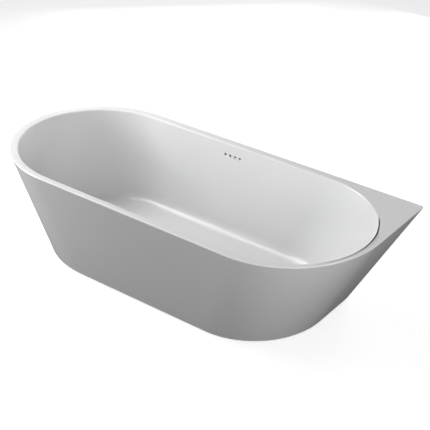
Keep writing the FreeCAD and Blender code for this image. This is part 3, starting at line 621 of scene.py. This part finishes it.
# ---------------------------------------------------------------- waste
def waste_plug():
    """Click-clack plug: a domed cap with a rolled edge on a stepped stem."""
    low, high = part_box("waste_plug")
    bm = bmesh.new()
    cap = high.z - 5 * MM
    lathe(bm, [(0, low.z), (3.4 * MM, low.z), (4 * MM, low.z + 0.6 * MM),
               (4 * MM, cap - 24 * MM), (4 * MM, cap - 23.5 * MM), (9 * MM, cap - 22.7 * MM),
               (9 * MM, cap - 19.7 * MM), (6 * MM, cap - 19.7 * MM), (6 * MM, cap),
               (29.6 * MM, cap), (30.6 * MM, cap + 0.3 * MM), (31 * MM, cap + 1.1 * MM),
               (30.8 * MM, cap + 2 * MM), (30 * MM, cap + 2.9 * MM),
               (28 * MM, cap + 3.6 * MM), (25 * MM, cap + 4.1 * MM),
               (20 * MM, cap + 4.5 * MM), (14 * MM, cap + 4.8 * MM), (7 * MM, high.z),
               (0, high.z)], waste, 96)
    return piece("waste_plug_cap", bm, (CHROME,), "chrome_trim", "plug", "waste_plug")


waste_plug()


# ---------------------------------------------------------------- overflow hose
def overflow_hose():
    """Corrugated hose: straight down, one bend under the basin, and along to the waste."""
    low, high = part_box("overflow_hose")
    radius, bend, groove = 14 * MM, 60 * MM, 1.6 * MM
    y, z = high.y - radius, low.z + radius
    drop = high.z - z - bend
    run = y - bend - low.y
    total = drop + bend * math.pi / 2 + run
    pitch = total / round(total / (6 * MM))
    bm = bmesh.new()
    ring = None

    def place(s):
        if s < drop:
            return Matrix.Translation((waste.x, y, high.z - s))
        corner = Matrix.Translation((waste.x, y - bend, z + bend))
        angle = min((s - drop) / bend, math.pi / 2)
        along = max(0.0, s - drop - bend * math.pi / 2)
        return (corner @ Matrix.Rotation(-angle, 4, "X")
                @ Matrix.Translation((0, bend, -along)))

    ribs = round(total / pitch)
    first = last = None
    for number in range(ribs):
        for share, depth in ((0.0, groove), (0.14, groove), (0.30, 0.3 * MM), (0.45, 0.0),
                             (0.70, 0.0), (0.86, 0.3 * MM)):
            made = bmesh.ops.create_circle(
                bm, segments=28, radius=radius - depth,
                matrix=place((number + share) * pitch))["verts"]
            loop = list({e for v in made for e in v.link_edges})
            if ring:
                bmesh.ops.bridge_loops(bm, edges=ring + loop)
            first, last, ring = first or loop, loop, loop
    for end in (first, last):
        bmesh.ops.edgeloop_fill(bm, edges=end)
    return piece("overflow_hose_ribbed", bm, (HOSE_PLASTIC,), "hose_plastic", "bath",
                 "overflow_hose")


overflow_hose()

# ---------------------------------------------------------------- finishes of the CAD nodes
FINISH_OF_SLOT = {
    "acrylic": ACRYLIC, "board": BOARD, "frame_steel": GALVANISED, "zinc_steel": ZINC,
    "spring_steel": SPRING, "seal_rubber": RUBBER, "chrome_trim": CHROME,
    "waste_plastic": WHITE_PLASTIC, "hose_plastic": HOSE_PLASTIC,
    "black_plastic": BLACK_PLASTIC,
}
GREY_NODES = ("trap_union_nut", "outlet_nut", "hose_nut_upper", "hose_nut_lower",
              "cleaning_cap_ring")
slot_of = {part["node"]: part["material_slot"] for part in frame["record"]["subparts"]}
for name, node in nodes.items():
    if node.hide_render:
        continue
    finish = GREY_PLASTIC if name in GREY_NODES else FINISH_OF_SLOT[slot_of[name]]
    node.data.materials.clear()
    node.data.materials.append(finish.material)
    for polygon in node.data.polygons:
        polygon.use_smooth = True
    weld = node.modifiers.new("weld", "WELD")
    weld.merge_threshold = 0.005 * MM
    soft = node.modifiers.new("soft edges", "BEVEL")
    soft.limit_method, soft.angle_limit = "ANGLE", math.radians(40)
    soft.width, soft.segments, soft.harden_normals = 0.25 * MM, 2, False
    split = node.modifiers.new("edges", "EDGE_SPLIT")
    split.split_angle = math.radians(35)

# ---------------------------------------------------------------- floor, light and camera
pale = Finish("pale_floor", Emission_Color=(1, 1, 1, 1), Emission_Strength=STUDIO_GLOW)
pale.surface(Base_Color=pale.mix(pale.noise(2.0), (0.42, 0.42, 0.42), (0.44, 0.44, 0.44)),
             Roughness=0.7 + pale.noise(6.0) * 0.1)
glow = Finish("pale_backdrop", Base_Color=(0, 0, 0, 1), Emission_Color=(1, 1, 1, 1),
              Emission_Strength=STUDIO_GLOW)

bm = bmesh.new()
bmesh.ops.create_grid(bm, x_segments=1, y_segments=1, size=30)
floor = add_object("studio_floor", bm, pale)
# The floor throws no light back onto the bath, so its leaning sides keep their shade.
floor.visible_diffuse = floor.visible_glossy = False

bm = bmesh.new()
bmesh.ops.create_uvsphere(bm, u_segments=64, v_segments=32, radius=14)
backdrop = add_object("studio_backdrop", bm, glow)
backdrop.visible_diffuse = backdrop.visible_glossy = backdrop.visible_shadow = False

AIM = Vector((0, 0, 0.35))


def softbox(name, azimuth, elevation, distance, size, power):
    """A square area light that faces the bath; azimuth 0 is in front and 90 at the right."""
    turn = (Matrix.Rotation(math.radians(azimuth), 4, "Z")
            @ Matrix.Rotation(math.radians(90 - elevation), 4, "X"))
    light = bpy.data.lights.new(name, "AREA")
    light.shape, light.size, light.energy = "SQUARE", size, power
    lamp = bpy.data.objects.new(name, light)
    lamp.matrix_world = Matrix.Translation(AIM) @ turn @ Matrix.Translation((0, 0, distance))
    bpy.context.scene.collection.objects.link(lamp)
    lamp.visible_camera = False


softbox("key_left", -70, 32, 3.4, 1.8, 50)
softbox("high_left", -80, 52, 3.4, 1.8, 50)
softbox("low_left", -58, 8, 2.4, 1.2, 30)
softbox("low_right", 70, 12, 3.4, 1.6, 38)
softbox("front_right", 45, 22, 3.4, 1.8, 28)
softbox("back_right", 150, 52, 3.4, 1.8, 14)
softbox("behind", 180, 10, 3.4, 1.8, 34)
softbox("behind_left", -140, 12, 3.4, 1.8, 16)

scene = bpy.context.scene
world = bpy.data.worlds.new("studio")
world.use_nodes = True
world.node_tree.nodes["Background"].inputs["Color"].default_value = (1, 1, 1, 1)
world.node_tree.nodes["Background"].inputs["Strength"].default_value = 0.05
scene.world = world
scene.view_settings.view_transform = "Standard"

CAMERA_AZIMUTH, CAMERA_ELEVATION, CAMERA_ROLL = 38.6, 31.1, -1.0
CAMERA_OFFSET = (0.117, -0.157, 4.685)
view = bpy.data.cameras.new("camera")
view.lens, view.sensor_width = 95, 36
camera = bpy.data.objects.new("camera", view)
camera_turn = (Matrix.Rotation(math.radians(CAMERA_AZIMUTH), 4, "Z")
               @ Matrix.Rotation(math.radians(90 - CAMERA_ELEVATION), 4, "X")
               @ Matrix.Rotation(math.radians(CAMERA_ROLL), 4, "Z"))
camera.matrix_world = (Matrix.Translation((0, 0, TOP)) @ camera_turn
                       @ Matrix.Translation(CAMERA_OFFSET))
bpy.context.scene.collection.objects.link(camera)
scene.camera = camera

bpy.context.view_layer.update()
